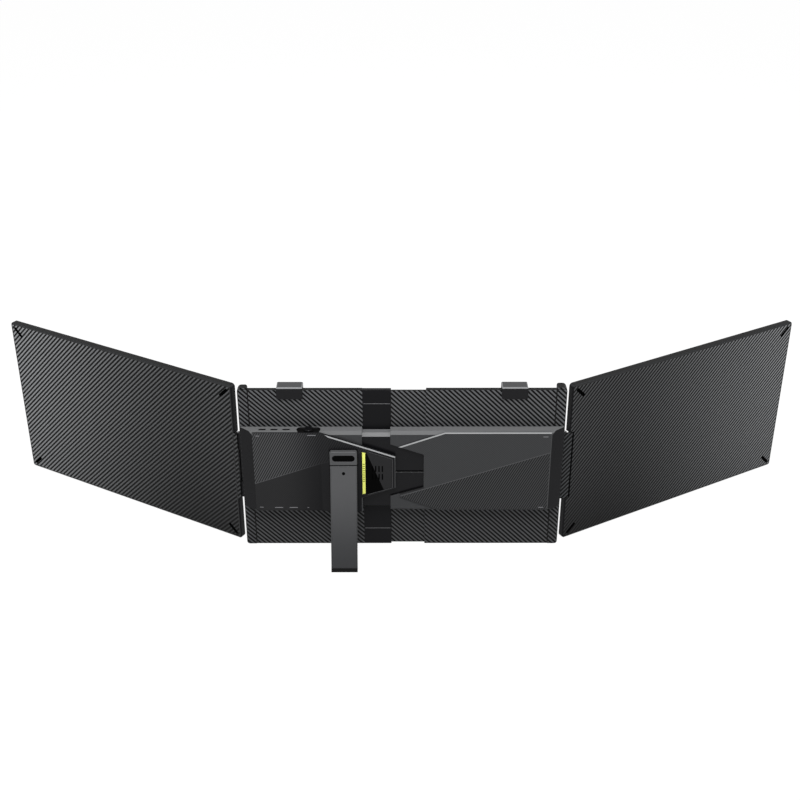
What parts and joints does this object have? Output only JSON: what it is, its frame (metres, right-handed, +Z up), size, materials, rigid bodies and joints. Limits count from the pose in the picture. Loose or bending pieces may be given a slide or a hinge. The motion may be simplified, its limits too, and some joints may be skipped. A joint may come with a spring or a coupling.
{
  "type": "laptop screen extender",
  "caption": "Telescoping lid plate with a fold-out screen wing on each side, spring clips, a rear electronics housing and a prop stand.",
  "frame": {"origin": "centre of the footprint on the desk, at the bottom of the plate", "axes": "+Z up; +X along the plate to the right seen from behind; +Y the way the screens face"},
  "size_m": [1.0244, 0.2572, 0.224],
  "materials": {
    "carbon_shell": "black casing with a woven carbon stripe pattern",
    "sleeve_black": "smooth black",
    "housing_grey": "fine-grained dark grey",
    "cover_grey": "dark grey with a fine ribbed texture",
    "gloss_black": "glossy black",
    "accent": "yellow-green",
    "stand_grey": "satin dark grey",
    "rubber": "matt black rubber",
    "steel": "plain steel",
    "black_steel": "blackened steel",
    "screen": "dark display glass",
    "bezel": "black frame",
    "circuit": "green circuit board"
  },
  "bodies": {
    "left_half": {"left_back_plate": "carbon_shell", "left_front_plate": "sleeve_black", "end_sleeve": "sleeve_black", "left_side_rail": "sleeve_black", "left_rail_pad": "rubber", "left_lid_pads": "rubber", "left_housing": "housing_grey", "left_cover": "cover_grey", "accent_strip": "accent", "nose_window": "gloss_black", "main_board": "circuit", "left_housing_screws": "black_steel", "left_hinge_bracket": "black_steel", "left_hinge_pin": "steel", "stand_mount": "stand_grey", "stand_badge": "gloss_black", "stand_pin": "steel", "usb_c_port_1": "steel", "usb_c_port_2": "steel", "usb_c_port_3": "steel", "left_clip_spring": "steel"},
    "menu_button": {"menu_button": "sleeve_black"},
    "stand": {"stand_leg": "stand_grey", "stand_foot": "rubber"},
    "right_half": {"right_back_plate": "carbon_shell", "right_front_plate": "sleeve_black", "inner_slide_plate": "carbon_shell", "right_side_rail": "sleeve_black", "right_rail_pad": "rubber", "right_lid_pads": "rubber", "right_housing": "housing_grey", "right_cover": "cover_grey", "slide_bridge": "sleeve_black", "right_housing_screws": "black_steel", "right_hinge_bracket": "black_steel", "right_plate_hinge_pin": "steel", "right_clip_spring": "steel"},
    "right_link": {"right_hinge_link": "sleeve_black", "right_wing_hinge_pin": "steel"},
    "left_clip": {"left_lid_clip": "sleeve_black", "left_clip_pad": "rubber"},
    "right_clip": {"right_lid_clip": "sleeve_black", "right_clip_pad": "rubber"},
    "left_wing": {"left_wing_back_cover": "carbon_shell", "left_wing_bezel": "bezel", "left_wing_screen": "screen", "left_wing_driver_board": "circuit", "left_wing_hinge_leaf": "black_steel", "left_wing_corner_inlays": "rubber"},
    "right_wing": {"right_wing_back_cover": "carbon_shell", "right_wing_bezel": "bezel", "right_wing_screen": "screen", "right_wing_driver_board": "circuit", "right_wing_hinge_leaf": "black_steel", "right_wing_corner_inlays": "rubber"}
  },
  "joints": [
    {"name": "extension_slide", "type": "slide", "parent": "left_half", "child": "right_half", "axis": [1, 0, 0], "range_m": [-0.033, 0.016]},
    {"name": "left_wing_hinge", "type": "hinge", "parent": "left_half", "child": "left_wing", "pos_m": [-0.2, -0.05152, 0.1075], "axis": [0, 0, 1], "range_deg": [-150, 30]},
    {"name": "right_link_hinge", "type": "hinge", "parent": "right_half", "child": "right_link", "pos_m": [0.1971, -0.0511, 0.1075], "axis": [0, 0, 1], "range_deg": [-15, 75]},
    {"name": "right_wing_hinge", "type": "hinge", "parent": "right_link", "child": "right_wing", "pos_m": [0.2056, -0.04882, 0.1075], "axis": [0, 0, 1], "range_deg": [-15, 75]},
    {"name": "left_clip_slide", "type": "slide", "parent": "left_half", "child": "left_clip", "axis": [0, 0, 1], "range_m": [0, 0.02], "stiffness_N_per_m": 250, "springref_m": -0.012, "deforming": ["left_clip_spring"]},
    {"name": "right_clip_slide", "type": "slide", "parent": "right_half", "child": "right_clip", "axis": [0, 0, 1], "range_m": [0, 0.02], "stiffness_N_per_m": 250, "springref_m": -0.012, "deforming": ["right_clip_spring"]},
    {"name": "stand_hinge", "type": "hinge", "parent": "left_half", "child": "stand", "pos_m": [-0.0703, -0.08852, 0.127], "axis": [-1, 0, 0], "range_deg": [-16.4, 28]},
    {"name": "menu_button_press", "type": "slide", "parent": "left_half", "child": "menu_button", "axis": [0, 0, -1], "range_m": [0, 0.001], "stiffness_N_per_m": 600, "springref_m": -0.001}
  ]
}
